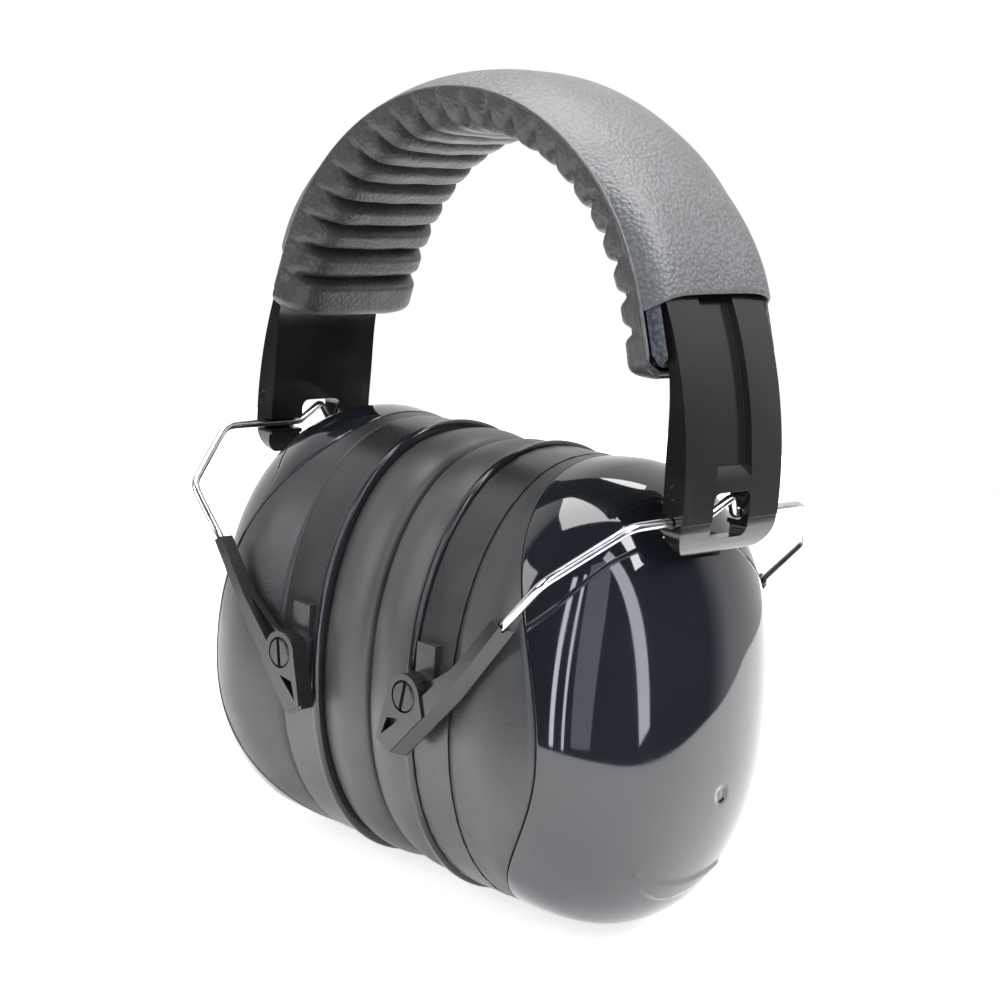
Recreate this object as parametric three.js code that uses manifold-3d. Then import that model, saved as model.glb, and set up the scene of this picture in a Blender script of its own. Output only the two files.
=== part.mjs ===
// Earmuff hearing protector: a padded headband, two telescoping arms, two wire forks and two ear cups.
// Millimetres. +X is the wearer's one side, -Y is the front, +Z is up, and Z = 0 is the bottom of the cups.
// Everything on the +X side is built once and mirrored in X; front and rear pieces are mirrored in Y.

import * as THREE from 'three';
import { mergeVertices } from 'three/addons/utils/BufferGeometryUtils.js';
import Module from 'manifold-3d';

const wasm = await Module();
wasm.setup();

// driving dimensions

const cupMidZ = 56;
const fitGap = 0.3;

// the headband's edge line: an arc over the head that runs out in a straight end on each side
const band = {
  radius: 62.7,
  centreZ: 131.4,
  startAngle: 17,
  straight: 15,
  halfWidth: 21.7,
  coverThickness: 1.2,
  crownTop: 4.8,
  crownEnd: 5.7,
  coreTop: -3.6,
  coreThickness: 2,
  coreHalfWidth: 19.2,
  padDepth: 10,
};

// the arm is a strip bent to one radius; it slides along its own curve
const arm = {
  centreX: -26.8,
  centreZ: 108,
  outerRadius: 99.8,
  topThickness: 3,
  endThickness: 6,
  halfWidth: 17,
  topAngle: 26.6,
  tongueTop: 37,
  tongueHalfWidth: 12,
  channelHalfWidth: 6,
  channelDepth: 2,
  windowHalfWidth: 6.5,
  windowBottomZ: 99,
  windowTopZ: 109.5,
  endZ: 95,
};

const wire = {
  radius: 1.15,
  hingeX: 69.6,
  hingeZ: 103.5,
  bendRadius: 3,
};

// the oval cup: half depth along Y, half height along Z, and the X places of its seams
const cup = {
  tipX: 73.5,
  shoulderX: 29.5,
  halfDepth: 41,
  halfHeight: 54.9,
  flareDepth: 4.2,
  tipDrop: 11,
  squareness: 2.15,
  wall: 2.4,
  seamTopX: 34,
  seamSideX: 56,
  seamLean: 3.5,
};

const ring = { innerX: 17.9, wall: 4.5 };
const flange = { innerX: 15.2, thickness: 2.4, proud: 1.1, openingInset: 17 };
const cushion = { faceX: 0.15, backX: 14.9, skin: 1.2, openingInset: 18.5, bulge: 0.6 };
const liner = { frontX: 19, inset: 7.6, thickness: 8 };
const pivot = { x: 21.9, z: 57, shankRadius: 1.8, headRadius: 3.5, headThickness: 1.4, headDepth: 1.5 };
const yoke = { innerY: 44, frontY: 47.8, plateauY: 48.4, webY: 45.8, bossRadius: 5.2 };
const pinSeatY = yoke.plateauY - pivot.headDepth;

// ---------- geometry helpers ----------

const degrees = (angle) => THREE.MathUtils.degToRad(angle);
const smooth = (value, low, high) => THREE.MathUtils.smoothstep(value, low, high);

function bareGeometry(positions, triangles) {
  const geometry = new THREE.BufferGeometry();
  geometry.setAttribute('position', new THREE.Float32BufferAttribute(positions, 3));
  geometry.setIndex(triangles);
  return geometry;
}

function signedVolume(geometry) {
  const place = geometry.getAttribute('position');
  const index = geometry.getIndex();
  const corners = [new THREE.Vector3(), new THREE.Vector3(), new THREE.Vector3()];
  let volume = 0;
  for (let i = 0; i < index.count; i += 3) {
    corners.forEach((corner, k) => corner.fromBufferAttribute(place, index.getX(i + k)));
    volume += corners[0].dot(corners[1].clone().cross(corners[2])) / 6;
  }
  return volume;
}

function facingOut(geometry) {
  if (signedVolume(geometry) > 0) {
    return geometry;
  }
  const turned = Array.from(geometry.getIndex().array);
  for (let i = 0; i < turned.length; i += 3) {
    [turned[i], turned[i + 1]] = [turned[i + 1], turned[i]];
  }
  geometry.setIndex(turned);
  return geometry;
}

// triangles over a flat end whose outline runs through the given points, turning the same way as the outline
function endFaces(outline) {
  const contour = outline.map(([across, height]) => new THREE.Vector2(across, height));
  const faces = THREE.ShapeUtils.triangulateShape(contour, []);
  const sameWay = (corners) => Math.sign(THREE.ShapeUtils.area(corners));
  const turn = sameWay(contour);
  return faces.map((face) => (sameWay(face.map((i) => contour[i])) === turn ? face : face.toReversed()));
}

// adds the middle of a ring as a new point, and gives its number
function addMiddle(ring, positions) {
  const middle = new THREE.Vector3();
  ring.forEach((point) => middle.addScaledVector(point, 1 / ring.length));
  positions.push(...middle.toArray());
  return positions.length / 3 - 1;
}

// a surface through equal rings: wrapped joins the last ring to the first, ends gives the end faces,
// and with neither each end ring is closed on its middle
function loft(rings, { wrapped = false, ends = null } = {}) {
  const count = rings[0].length;
  const positions = rings.flat().flatMap((point) => point.toArray());
  const triangles = [];
  const spans = wrapped ? rings.length : rings.length - 1;
  for (let r = 0; r < spans; r += 1) {
    const here = r * count;
    const next = ((r + 1) % rings.length) * count;
    for (let i = 0; i < count; i += 1) {
      const j = (i + 1) % count;
      triangles.push(here + i, here + j, next + j, here + i, next + j, next + i);
    }
  }
  const last = (rings.length - 1) * count;
  if (ends) {
    ends.forEach(([a, b, c]) => triangles.push(a, c, b, last + a, last + b, last + c));
  } else if (!wrapped) {
    const first = addMiddle(rings[0], positions);
    const final = addMiddle(rings[rings.length - 1], positions);
    for (let i = 0; i < count; i += 1) {
      const j = (i + 1) % count;
      triangles.push(j, i, first, last + i, last + j, final);
    }
  }
  return facingOut(bareGeometry(positions, triangles));
}

function toSolid(geometry) {
  const bare = geometry.clone();
  bare.deleteAttribute('normal');
  bare.deleteAttribute('uv');
  const merged = mergeVertices(bare, 1e-4);
  return new wasm.Manifold(new wasm.Mesh({
    numProp: 3,
    vertProperties: new Float32Array(merged.getAttribute('position').array),
    triVerts: new Uint32Array(merged.getIndex().array),
  }));
}

function toGeometry(solid) {
  const mesh = solid.getMesh();
  return bareGeometry(Array.from(mesh.vertProperties), Array.from(mesh.triVerts));
}

function cutAway(base, tools) {
  const solid = tools.reduce((left, tool) => left.subtract(toSolid(tool)), toSolid(base));
  return toGeometry(solid);
}

function joinTo(base, pieces) {
  const solid = pieces.reduce((sum, piece) => sum.add(toSolid(piece)), toSolid(base));
  return toGeometry(solid);
}

function box(xRange, yRange, zRange) {
  const sizes = [xRange, yRange, zRange].map(([low, high]) => high - low);
  const middles = [xRange, yRange, zRange].map(([low, high]) => (low + high) / 2);
  return new THREE.BoxGeometry(...sizes).translate(...middles);
}

// a round bar along Y
function barY(radius, yRange, x, z, sides = 24) {
  const bar = new THREE.CylinderGeometry(radius, radius, yRange[1] - yRange[0], sides);
  return bar.translate(x, (yRange[0] + yRange[1]) / 2, z);
}

// an outline drawn in X and Z, given its thickness along Y
function slabY(shape, yRange, curveSegments = 12) {
  const slab = new THREE.ExtrudeGeometry(shape, {
    depth: yRange[1] - yRange[0],
    bevelEnabled: false,
    curveSegments,
  });
  return slab.rotateX(Math.PI / 2).translate(0, yRange[1], 0);
}

function outlineOf(corners) {
  const shape = new THREE.Shape();
  corners.forEach(([x, z], i) => (i === 0 ? shape.moveTo(x, z) : shape.lineTo(x, z)));
  shape.closePath();
  return shape;
}

function mirrored(geometry, axis) {
  const scale = { x: [-1, 1, 1], y: [1, -1, 1] }[axis];
  return facingOut(geometry.clone().scale(...scale));
}

// ---------- the headband ----------

// a point of the band's edge line and the outward direction there; travel runs from the +X end to the -X end
function bandPoint(travel) {
  const arcLength = band.radius * degrees(180 - 2 * band.startAngle);
  const along = travel - band.straight;
  const clamped = THREE.MathUtils.clamp(along, 0, arcLength);
  const angle = degrees(band.startAngle) + clamped / band.radius;
  const out = new THREE.Vector2(Math.cos(angle), Math.sin(angle));
  const forward = new THREE.Vector2(-Math.sin(angle), Math.cos(angle));
  const point = out.clone().multiplyScalar(band.radius).addScaledVector(forward, along - clamped);
  return { x: point.x, z: point.y + band.centreZ, outX: out.x, outZ: out.y };
}

const bandLength = band.radius * degrees(180 - 2 * band.startAngle) + 2 * band.straight;

// how close a place on the band is to the ends, 0 over the head and 1 where the arms go in
function endNearness(travel) {
  const fromEnd = Math.min(travel, bandLength - travel);
  return 1 - smooth(fromEnd, 16, 46);
}

// the places along the band at which every swept piece has a section, so that nested pieces stay parallel
function bandStations(from, to) {
  const steps = 30;
  const shared = Array.from({ length: steps + 1 }, (unused, i) => (bandLength * i) / steps);
  return [from, ...shared.filter((travel) => travel > from + 1 && travel < to - 1), to];
}

// sweep a closed outline of [across, height] pairs along the band
function sweepBand(from, to, outlineAt) {
  const rings = bandStations(from, to).map((travel) => {
    const at = bandPoint(travel);
    return outlineAt(travel).map(([across, height]) => new THREE.Vector3(
      at.x + at.outX * height,
      across,
      at.z + at.outZ * height,
    ));
  });
  return loft(rings, { ends: endFaces(outlineAt(from)) });
}

// the cover's crown: flat and square over the arms, rounder over the head
function crownHeight(across, travel, halfWidth, drop) {
  const near = endNearness(travel);
  const height = THREE.MathUtils.lerp(band.crownTop, band.crownEnd, near) - drop;
  const power = THREE.MathUtils.lerp(2.6, 12, near);
  return height * (1 - Math.abs(across / halfWidth) ** power);
}

function coverGeometry() {
  const columns = 10;
  const half = band.halfWidth;
  const innerHalf = half - band.coverThickness;
  const coverEnd = 14.5;
  const outline = (travel) => {
    const points = [];
    for (let i = 0; i <= columns; i += 1) {
      const across = -half + (2 * half * i) / columns;
      points.push([across, crownHeight(across, travel, half, 0)]);
    }
    for (let i = columns; i >= 0; i -= 1) {
      const across = -innerHalf + (2 * innerHalf * i) / columns;
      points.push([across, crownHeight(across, travel, innerHalf, band.coverThickness)]);
    }
    return points;
  };
  return sweepBand(coverEnd, bandLength - coverEnd, outline);
}

function coverFoamGeometry() {
  const half = 15;
  const base = band.coreTop + fitGap;
  const quarter = 52;
  const outline = (travel) => {
    const crown = (across) => crownHeight(across, travel, band.halfWidth, band.coverThickness + 1);
    return [[-half, base], [half, base], [half, crown(half)], [half / 2, crown(half / 2)],
      [0, crown(0)], [-half / 2, crown(half / 2)], [-half, crown(half)]];
  };
  return sweepBand(bandLength / 2 - quarter / 2, bandLength / 2 + quarter / 2, outline);
}

// the spring core: a shallow plastic channel whose raised edges guide the arms
function coreGeometry() {
  const half = band.coreHalfWidth;
  const wall = 1.6;
  const top = band.coreTop;
  const bottom = top - band.coreThickness;
  const edge = -0.4;
  const outline = () => [
    [-half, bottom], [half, bottom], [half, edge], [half - wall, edge],
    [half - wall, top], [-half + wall, top], [-half + wall, edge], [-half, edge],
  ];
  return sweepBand(2.5, bandLength - 2.5, outline);
}

// the pad under the band, plain here: a soft trough round the core
function padGeometry() {
  const half = band.halfWidth - 0.2;
  const inner = band.coreHalfWidth + fitGap;
  const top = -fitGap;
  const seat = band.coreTop - band.coreThickness - fitGap;
  const outline = () => [
    [-half, top], [-half, -5], [-half + 3.5, -band.padDepth], [half - 3.5, -band.padDepth],
    [half, -5], [half, top], [inner, top], [inner, seat], [-inner, seat], [-inner, top],
  ];
  return sweepBand(0.6, bandLength - 0.6, outline);
}

// the backing behind each bare end of the pad, beside the arm
function backingGeometry() {
  const half = band.coreHalfWidth - 2;
  const low = band.coreTop + 0.2;
  const outline = () => [[-half, low], [half, low], [half, low + 0.9], [-half, low + 0.9]];
  return sweepBand(2.5, 12, outline);
}

// ---------- the arm ----------

// a band of the arm's own curve between two angles, its radii given by the angle, seen in X and Z
function armSector(innerRadiusAt, outerRadiusAt, fromAngle, toAngle, steps) {
  const corners = [];
  const add = (radius, angle) => corners.push([
    arm.centreX + radius * Math.cos(degrees(angle)),
    arm.centreZ + radius * Math.sin(degrees(angle)),
  ]);
  const angles = Array.from({ length: steps + 1 }, (unused, i) => fromAngle + ((toAngle - fromAngle) * i) / steps);
  angles.forEach((angle) => add(outerRadiusAt(angle), angle));
  angles.reverse().forEach((angle) => add(innerRadiusAt(angle), angle));
  return outlineOf(corners);
}

// the arm is thick where the wire turns in it, and thin where it slides into the headband
function armInnerRadius(angle) {
  const thickness = THREE.MathUtils.lerp(arm.endThickness, arm.topThickness, smooth(angle, 3, 20));
  return arm.outerRadius - thickness;
}

function armEndAngle(radius) {
  return THREE.MathUtils.radToDeg(Math.asin((arm.endZ - arm.centreZ) / radius));
}

function armGeometry() {
  const outer = () => arm.outerRadius;
  const across = [-arm.halfWidth, arm.halfWidth];
  const body = slabY(armSector(armInnerRadius, outer, armEndAngle(arm.outerRadius), arm.topAngle, 22), across);
  const tongue = slabY(
    armSector(() => arm.outerRadius - 2.6, () => arm.outerRadius - 0.8, arm.topAngle - 1, arm.tongueTop, 6),
    [-arm.tongueHalfWidth, arm.tongueHalfWidth],
  );
  const channel = slabY(
    armSector(() => arm.outerRadius - arm.channelDepth, () => arm.outerRadius + 2, 4.2, arm.topAngle + 1, 14),
    [-arm.channelHalfWidth, arm.channelHalfWidth],
  );
  const marks = [-1, 1].map((side) => barY(1.9, sorted(side * 16.7, side * 20), 70.4, 110.2, 20));
  const cuts = [channel, armWindow(), armRunout(), wireGroove(), ...armCorners(), ...marks];
  return cutAway(joinTo(body, [tongue]), cuts);
}

const sorted = (...values) => values.sort((low, high) => low - high);

// the round-cornered window that the crank of the wire lies in
function armWindow() {
  const [half, low, high, round] = [arm.windowHalfWidth, arm.windowBottomZ, arm.windowTopZ, 2];
  const shape = new THREE.Shape();
  shape.absarc(half - round, low + round, round, -Math.PI / 2, 0);
  shape.absarc(half - round, high - round, round, 0, Math.PI / 2);
  shape.absarc(-half + round, high - round, round, Math.PI / 2, Math.PI);
  shape.absarc(-half + round, low + round, round, Math.PI, 1.5 * Math.PI);
  shape.closePath();
  const block = new THREE.ExtrudeGeometry(shape, { depth: 30, bevelEnabled: false, curveSegments: 4 });
  return block.rotateX(Math.PI / 2).rotateZ(Math.PI / 2).translate(58, 0, 0);
}

// the channel's sloping end, just above the window
function armRunout() {
  const faceX = arm.centreX + arm.outerRadius;
  const slope = new THREE.Shape();
  slope.moveTo(faceX + 1, arm.windowTopZ + 1.2);
  slope.lineTo(faceX - arm.channelDepth - 0.1, arm.windowTopZ + 6.3);
  slope.lineTo(faceX + 1, arm.windowTopZ + 6.3);
  return slabY(slope, [-arm.channelHalfWidth, arm.channelHalfWidth]);
}

// the open groove on the inner face that the fork's wire turns in
function wireGroove() {
  const half = wire.radius + 0.25;
  const shape = new THREE.Shape();
  shape.moveTo(wire.hingeX - 7, wire.hingeZ + half);
  shape.lineTo(wire.hingeX - 7, wire.hingeZ - half);
  shape.lineTo(wire.hingeX, wire.hingeZ - half);
  shape.absarc(wire.hingeX, wire.hingeZ, half, -Math.PI / 2, Math.PI / 2, false);
  shape.closePath();
  return slabY(shape, [-arm.halfWidth - 1, arm.halfWidth + 1], 8);
}

// rounds the arm's lower corners, curls its outer face in towards the end, and slants the heel of its
// inner face so that the cup has room to swing
function armCorners() {
  const radius = 7;
  const corners = [-1, 1].map((side) => {
    const shape = new THREE.Shape();
    const y = side * arm.halfWidth;
    shape.moveTo(y + side, arm.endZ - 1);
    shape.lineTo(y - side * radius, arm.endZ - 1);
    shape.lineTo(y - side * radius, arm.endZ);
    for (let i = 1; i <= 6; i += 1) {
      const turn = degrees(15 * i);
      shape.lineTo(y - side * radius * (1 - Math.sin(turn)), arm.endZ + radius * (1 - Math.cos(turn)));
    }
    shape.lineTo(y + side, arm.endZ + radius);
    shape.closePath();
    const block = new THREE.ExtrudeGeometry(shape, { depth: 30, bevelEnabled: false });
    return block.rotateX(Math.PI / 2).rotateZ(Math.PI / 2).translate(58, 0, 0);
  });
  const curl = new THREE.Shape();
  const faceX = arm.centreX + arm.outerRadius;
  curl.moveTo(faceX + 2, arm.endZ + 8);
  for (let i = 0; i <= 6; i += 1) {
    const turn = degrees(12.5 * i);
    curl.lineTo(faceX - 0.3 - 9 * (1 - Math.cos(turn)) * 0.65, arm.endZ + 8 - 9 * Math.sin(turn));
  }
  curl.lineTo(faceX + 2, arm.endZ - 1);
  curl.closePath();
  const heel = new THREE.Shape();
  heel.moveTo(faceX - 8, arm.endZ - 1);
  heel.lineTo(faceX - 2.2, arm.endZ - 1);
  heel.lineTo(faceX - 5.6, arm.endZ + 6);
  heel.lineTo(faceX - 8, arm.endZ + 6);
  heel.closePath();
  const across = [-arm.halfWidth - 1, arm.halfWidth + 1];
  return [...corners, slabY(curl, across), slabY(heel, across)];
}

// ---------- the wire fork ----------

// one half of the wire, from the window to the yoke arm's tip; side is -1 in front and 1 at the rear
const legPoints = (side) => [
  new THREE.Vector3(wire.hingeX, side * 30, wire.hingeZ),
  new THREE.Vector3(60.4, side * 46.8, 91.2),
  new THREE.Vector3(46.1, side * 45.75, 75.9),
];

// straight runs joined by round bends
function wirePath() {
  const corners = [
    ...legPoints(-1).reverse(),
    new THREE.Vector3(wire.hingeX, -5.1, wire.hingeZ),
    new THREE.Vector3(wire.hingeX + 1, 2.6, wire.hingeZ + 4.2),
    new THREE.Vector3(wire.hingeX, 5.1, wire.hingeZ),
    ...legPoints(1),
  ];
  const bends = [wire.bendRadius, wire.bendRadius, 1.2, 1.2, 1.2, wire.bendRadius, wire.bendRadius];
  const path = new THREE.CurvePath();
  let from = corners[0];
  for (let i = 1; i < corners.length - 1; i += 1) {
    const corner = corners[i];
    const before = corner.clone().lerp(corners[i - 1], bends[i - 1] / corner.distanceTo(corners[i - 1]));
    const after = corner.clone().lerp(corners[i + 1], bends[i - 1] / corner.distanceTo(corners[i + 1]));
    path.add(new THREE.LineCurve3(from, before));
    path.add(new THREE.QuadraticBezierCurve3(before, corner, after));
    from = after;
  }
  path.add(new THREE.LineCurve3(from, corners[corners.length - 1]));
  return path;
}

function wireGeometry() {
  const path = wirePath();
  const places = [];
  path.curves.forEach((curve, i) => {
    const steps = curve instanceof THREE.LineCurve3 ? 1 : 4;
    for (let k = i === 0 ? 0 : 1; k <= steps; k += 1) {
      places.push({ point: curve.getPoint(k / steps), ahead: curve.getTangent(k / steps) });
    }
  });
  const up = new THREE.Vector3(0.62, 0, -0.78).normalize();
  const sides = 10;
  const rings = places.map(({ point, ahead }) => {
    const across = new THREE.Vector3().crossVectors(ahead, up).normalize();
    const lift = new THREE.Vector3().crossVectors(across, ahead);
    return Array.from({ length: sides }, (unused, i) => {
      const turn = (2 * Math.PI * i) / sides;
      return point.clone()
        .addScaledVector(across, wire.radius * Math.cos(turn))
        .addScaledVector(lift, wire.radius * Math.sin(turn));
    });
  });
  return loft(rings);
}

// ---------- the yoke arm and its pin ----------

// the lower edge that the bar, the plateau and the slanting face share
const yokeEdge = { tip: [51.3, 78.2], middle: [36.6, 59.4], foot: [20.1, 41.9] };

// built as the front one, on -Y: a slim bar, a plateau with the pin's boss, and a thin web between them
function yokeGeometry() {
  const { tip, middle, foot } = yokeEdge;
  const bar = outlineOf([
    [47.3, 80.5], tip, middle, foot, [13.3, 44.9], [14.5, 50.3], [17, 58.2], [21.9, 60.4], [27, 58],
    [37.4, 68.3],
  ]);
  const plateau = outlineOf([
    [28.4, 53.2], [18.6, 43.2], [13.8, 45.6], [14.9, 50.4], [17, 58.2], [21.9, 60.4], [27, 58],
  ]);
  const web = outlineOf([[20, 60], [28.4, 62], [37.4, 68.3], [30, 59]]);
  const solid = joinTo(slabY(bar, [-yoke.frontY, -yoke.innerY]), [
    slabY(plateau, [-yoke.plateauY, -yoke.innerY - 0.5]),
    slabY(web, [-yoke.webY, -yoke.innerY]),
    barY(yoke.bossRadius, [-yoke.plateauY, -yoke.innerY], pivot.x, pivot.z, 36),
  ]);
  const counterbore = barY(pivot.headRadius + fitGap, [-60, -pinSeatY], pivot.x, pivot.z, 32);
  const bore = barY(pivot.shankRadius + 0.2, [-60, -30], pivot.x, pivot.z, 24);
  const slants = [yokeSlant(foot, middle, 9), yokeSlant(middle, tip, 6)];
  return cutAway(solid, [...slants, yokePocket(), counterbore, bore, wireSocket()]);
}

// the slanting face along one run of the yoke arm's lower edge
function yokeSlant(from, to, overrun) {
  const [depth, width, reach] = [3.2, 2, 4];
  const start = new THREE.Vector3(from[0], -yoke.frontY, from[1]);
  const along = new THREE.Vector3(to[0] - from[0], 0, to[1] - from[1]);
  const length = along.length();
  along.normalize();
  const inward = new THREE.Vector3(-along.z, 0, along.x);
  const section = (travel) => [[width, 0], [0, depth], [-reach, depth], [-reach, -reach], [width, -reach]]
    .map(([across, deep]) => start.clone()
      .addScaledVector(along, travel)
      .addScaledVector(inward, across)
      .add(new THREE.Vector3(0, deep, 0)));
  return loft([section(-overrun), section(length + overrun)]);
}

// the three-cornered recess beside the pin
function yokePocket() {
  const recess = outlineOf([[15.3, 46.5], [17, 51], [21.4, 51.6]]);
  return slabY(recess, [-60, -yoke.frontY + 1.2]);
}

// the blind hole in the yoke arm's tip that holds the wire
function wireSocket() {
  const [, bend, tip] = legPoints(-1);
  const along = tip.clone().sub(bend).normalize();
  const hole = new THREE.CylinderGeometry(wire.radius + 0.15, wire.radius + 0.15, 20, 16);
  hole.applyQuaternion(new THREE.Quaternion().setFromUnitVectors(new THREE.Vector3(0, -1, 0), along));
  const middle = tip.clone().addScaledVector(along, 0.4 - 10);
  return hole.translate(middle.x, middle.y, middle.z);
}

function pinGeometry() {
  const { shankRadius, headRadius, headThickness } = pivot;
  const length = 10;
  const profile = [
    [0, 0], [shankRadius, 0], [shankRadius, length], [headRadius, length],
    [headRadius, length + headThickness - 0.4], [headRadius - 0.4, length + headThickness],
    [0, length + headThickness],
  ].map(([radius, height]) => new THREE.Vector2(radius, height));
  const turned = new THREE.LatheGeometry(profile, 32);
  const slot = box([-headRadius - 1, headRadius + 1], [length + headThickness - 0.8, length + 4], [-0.5, 0.5]);
  const pin = cutAway(turned, [slot.rotateY(degrees(80))]);
  return pin.rotateX(Math.PI).translate(pivot.x, -(pinSeatY + fitGap) + length, pivot.z);
}

// ---------- the ear cup ----------

function cupPoint(x, angle, inset) {
  const tip = cup.tipX - inset;
  const t = THREE.MathUtils.clamp((x - cup.shoulderX) / (tip - cup.shoulderX), 0, 1);
  const flare = smooth(t, 0, 0.36);
  const depth = (cup.halfDepth + cup.flareDepth * flare - inset) * (1 - t ** 3) ** 0.48;
  const rise = (cup.halfHeight + 2 * flare - inset) * (1 - t ** 4.6) ** 0.37;
  const fall = (cup.halfHeight - 1.4 * flare - inset) * (1 - t ** 3.2) ** 0.48;
  const rounding = 2 / cup.squareness;
  const [across, upward] = [Math.cos(angle), Math.sin(angle)];
  const height = upward > 0 ? rise : fall;
  return new THREE.Vector3(
    x,
    depth * Math.sign(across) * Math.abs(across) ** rounding,
    cupMidZ - cup.tipDrop * t * t + height * Math.sign(upward) * Math.abs(upward) ** rounding,
  );
}

// the dome's seam swings far out at the front and rear, and comes in at the top and bottom
function seamX(angle) {
  const across = Math.abs(Math.cos(angle));
  const upward = Math.sin(angle);
  const swing = (cup.seamSideX - cup.seamTopX) * across ** 3;
  return cup.seamTopX + swing - cup.seamLean * upward * across ** 2;
}

function ovalRing(count, pointAt) {
  return Array.from({ length: count }, (unused, i) => pointAt((2 * Math.PI * i) / count));
}

// rings over a rounded cap, from its rim at rimX to near its tip, evenly spread by their size
function capRings(count, steps, inset, rimX) {
  const tip = cup.tipX - inset;
  const sizeAt = (t) => (1 - t ** 3) ** 0.48;
  const rings = [];
  for (let i = 0; i <= steps; i += 1) {
    const share = Math.cos((Math.PI / 2) * Math.min(i / steps, 0.97));
    rings.push(ovalRing(count, (angle) => {
      const rim = (rimX(angle) - cup.shoulderX) / (tip - cup.shoulderX);
      const t = i === 0 ? rim : (1 - (sizeAt(Math.max(rim, 0)) * share) ** (1 / 0.48)) ** (1 / 3);
      return cupPoint(cup.shoulderX + t * (tip - cup.shoulderX), angle, inset);
    }));
  }
  return rings;
}

function domeGeometry() {
  const count = 56;
  const rim = (angle) => seamX(angle) + fitGap / 2;
  const outside = capRings(count, 9, 0, rim);
  const inside = capRings(count, 6, cup.wall, rim);
  return loft([...outside.reverse(), ...inside]);
}

function wallRings(count, fromX, toX, steps, inset) {
  return Array.from({ length: steps + 1 }, (unused, i) => ovalRing(count, (angle) => {
    const x = THREE.MathUtils.lerp(fromX(angle), toX(angle), i / steps);
    return cupPoint(x, angle, inset);
  }));
}

// the grained body, with a lip that goes in under the dome
function shellGeometry() {
  const count = 56;
  const front = () => cup.shoulderX + fitGap / 2;
  const seam = (angle) => seamX(angle) - fitGap / 2;
  const lip = (angle) => seamX(angle) + 4;
  const tuck = cup.wall + 0.9;
  return loft([
    ...wallRings(count, front, seam, 3, 0),
    ...wallRings(count, seam, lip, 1, tuck),
    ...wallRings(count, lip, front, 2, tuck + 2),
  ], { wrapped: true });
}

// the satin ring next to the flange, with a raised pivot pad at the front and rear
function ringGeometry() {
  const count = 48;
  const front = () => ring.innerX;
  const back = () => cup.shoulderX - fitGap / 2;
  const hoop = loft([
    ...wallRings(count, front, back, 1, 0),
    ...wallRings(count, back, front, 1, ring.wall),
  ], { wrapped: true });
  const padTop = yoke.innerY - fitGap;
  const padBottom = cup.halfDepth - ring.wall + 1;
  const pieces = [-1, 1].flatMap((side) => {
    const reach = side < 0 ? [-padTop, -padBottom] : [padBottom, padTop];
    const lug = [reach[0] + (side < 0 ? 1.6 : 0), reach[1] - (side < 0 ? 0 : 1.6)];
    return [
      barY(5, reach, pivot.x, pivot.z, 28),
      box([pivot.x - 3, pivot.x + 3], lug, [pivot.z - 8, pivot.z + 11.5]),
    ];
  });
  const bores = [-1, 1].map((side) => {
    const reach = side < 0 ? [-60, -30] : [30, 60];
    return barY(pivot.shankRadius + 0.05, reach, pivot.x, pivot.z, 32);
  });
  const clearOfPlate = box([0, ring.innerX], [-60, 60], [0, 120]);
  return cutAway(joinTo(hoop, pieces), [...bores, clearOfPlate]);
}

// the plate that carries the ear cushion, open in the middle
function flangeGeometry() {
  const count = 48;
  const back = flange.innerX + flange.thickness;
  const at = (x, inset) => ovalRing(count, (angle) => {
    const point = cupPoint(cup.shoulderX, angle, inset);
    point.x = x;
    return point;
  });
  return loft([
    at(flange.innerX, flange.openingInset),
    at(flange.innerX, 0.6 - flange.proud),
    at(flange.innerX + 0.6, -flange.proud),
    at(back - 0.6, -flange.proud),
    at(back, 0.6 - flange.proud),
    at(back, flange.openingInset),
  ], { wrapped: true });
}

// rings of the cushion's section, given as [x, inset] pairs
function cushionRings(count, section) {
  return section.map(([x, inset]) => ovalRing(count, (angle) => {
    const point = cupPoint(cup.shoulderX, angle, inset);
    point.x = x;
    return point;
  }));
}

// the soft ear cushion: its skin is a trough that opens towards the flange
function cushionGeometry() {
  const { faceX, backX, skin, openingInset, bulge } = cushion;
  const section = [
    [backX, 1], [9, -bulge], [4, 0.2], [faceX + 0.9, 1.4], [faceX, 3.2],
    [faceX, openingInset - 3], [faceX + 1.4, openingInset - 0.8], [5, openingInset],
    [backX, openingInset],
    [backX, openingInset - skin], [5, openingInset - skin], [faceX + skin + 0.4, openingInset - 3],
    [faceX + skin, 3.4], [4.4, 0.2 + skin], [9, skin - bulge], [backX, 1 + skin],
  ];
  return loft(cushionRings(36, section), { wrapped: true });
}

function cushionFoamGeometry() {
  const { faceX, backX, skin, openingInset } = cushion;
  const gap = skin + fitGap;
  const section = [
    [backX, 1.2 + gap], [9, gap - 0.2], [5, 0.6 + gap], [faceX + gap + 0.1, 4.6],
    [faceX + gap + 0.1, openingInset - 4.4], [5, openingInset - gap - 0.2], [backX, openingInset - gap],
  ];
  return loft(cushionRings(28, section), { wrapped: true });
}

// the sound-absorbing foam that lines the cup
function linerGeometry() {
  const count = 28;
  const rim = () => cup.shoulderX;
  const outside = capRings(count, 4, liner.inset, rim);
  const inside = capRings(count, 3, liner.inset + liner.thickness, rim);
  const front = (inset) => ovalRing(count, (angle) => cupPoint(liner.frontX, angle, inset));
  return loft([
    ...outside.reverse(),
    front(liner.inset),
    front(liner.inset + liner.thickness),
    ...inside,
  ]);
}

// ---------- materials and assembly ----------

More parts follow.
